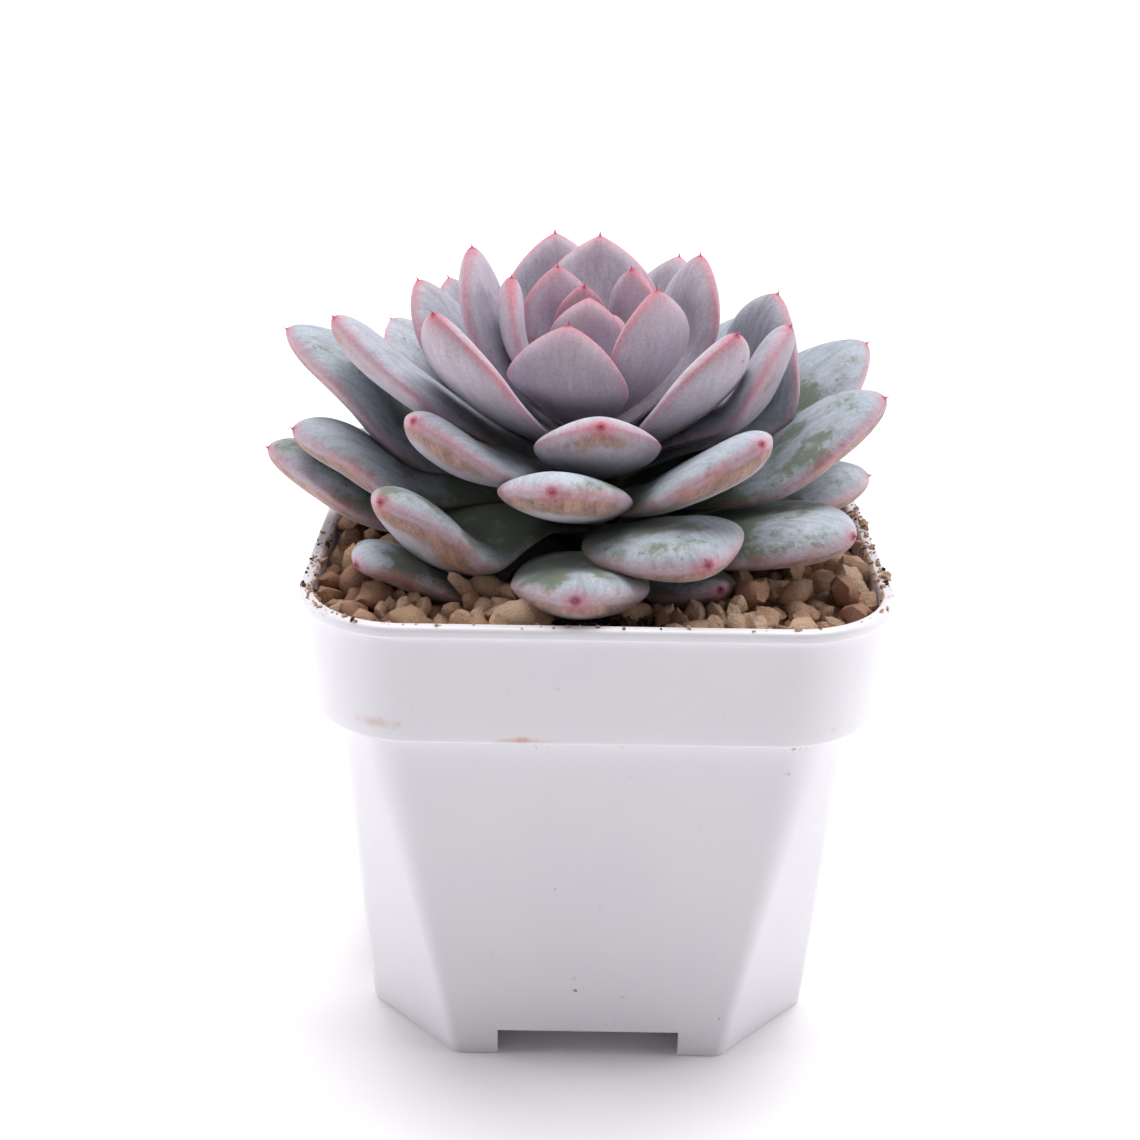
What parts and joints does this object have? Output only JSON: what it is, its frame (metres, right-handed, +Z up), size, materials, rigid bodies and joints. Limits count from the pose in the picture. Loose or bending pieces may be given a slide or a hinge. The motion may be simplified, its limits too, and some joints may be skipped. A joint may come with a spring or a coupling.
{
  "type": "potted succulent",
  "caption": "Rosette succulent with thick pointed leaves growing in a square plastic nursery pot with a rim band, corner facets and feet, topped with baked-clay grit.",
  "frame": {"origin": "on the table under the middle of the whole object's bounding box, so the pot's own middle is 3.8 mm to +X of it", "axes": "+Z up out of the pot, +X to the right and -Y towards the viewer, square to the pot's sides"},
  "size_m": [0.0981, 0.0904, 0.1235],
  "materials": {
    "white_plastic": "moulded white polypropylene, satin",
    "potting_mix": "dark peat and grit mix, matt",
    "clay_grit": "baked-clay granules, dry and matt",
    "stem": "fleshy green-brown stem, matt",
    "leaf": "fleshy leaf with a pale wax bloom and pink margins, satin"
  },
  "bodies": {
    "root": {"pot": "white_plastic", "soil": "potting_mix", "grit_layer": "clay_grit", "stem": "stem", "leaf_01": "leaf", "leaf_02": "leaf", "leaf_03": "leaf", "leaf_04": "leaf", "leaf_05": "leaf", "leaf_06": "leaf", "leaf_07": "leaf", "leaf_08": "leaf", "leaf_09": "leaf", "leaf_10": "leaf", "leaf_11": "leaf", "leaf_12": "leaf", "leaf_13": "leaf", "leaf_14": "leaf", "leaf_15": "leaf", "leaf_16": "leaf", "leaf_17": "leaf", "leaf_18": "leaf", "leaf_19": "leaf", "leaf_20": "leaf", "leaf_21": "leaf", "leaf_22": "leaf", "leaf_23": "leaf", "leaf_24": "leaf", "leaf_25": "leaf", "leaf_26": "leaf", "leaf_27": "leaf", "leaf_28": "leaf", "leaf_29": "leaf", "leaf_30": "leaf", "leaf_31": "leaf", "leaf_32": "leaf", "leaf_33": "leaf", "leaf_34": "leaf", "leaf_35": "leaf", "leaf_36": "leaf", "leaf_37": "leaf", "leaf_38": "leaf", "leaf_39": "leaf", "leaf_40": "leaf", "leaf_41": "leaf", "leaf_42": "leaf", "leaf_43": "leaf", "leaf_44": "leaf", "leaf_45": "leaf", "leaf_46": "leaf", "leaf_47": "leaf", "leaf_48": "leaf", "leaf_49": "leaf"}
  },
  "joints": []
}
